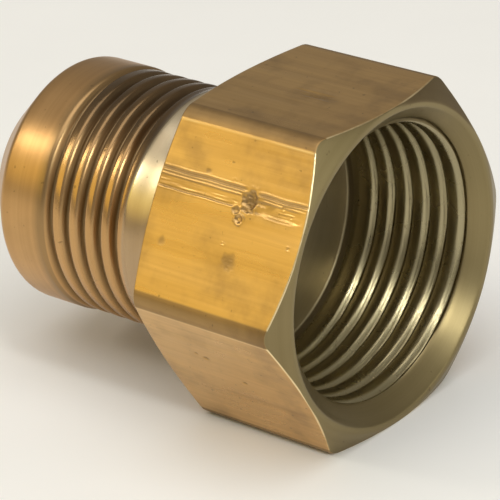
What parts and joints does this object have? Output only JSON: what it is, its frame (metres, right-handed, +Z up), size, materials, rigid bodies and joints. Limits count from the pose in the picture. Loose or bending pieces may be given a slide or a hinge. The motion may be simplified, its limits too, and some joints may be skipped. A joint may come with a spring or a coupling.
{
  "type": "flare to pipe thread adapter fitting",
  "caption": "One-piece brass adapter: male flare end with straight thread, wrench hexagon and female taper pipe thread, open right through.",
  "frame": {"origin": "centre of the bounding box, at its bottom: the middle of the length, under the turning axis, on the hexagon flat that it lies on", "axes": "+X along the turning axis towards the pipe mouth, +Z up out of the top hexagon flat, +Y across the corners"},
  "size_m": [0.038, 0.0326, 0.0286],
  "materials": {
    "brass": "drawn flats and turned ends, lightly tarnished"
  },
  "bodies": {
    "root": {"adapter_body": "brass"}
  },
  "joints": []
}
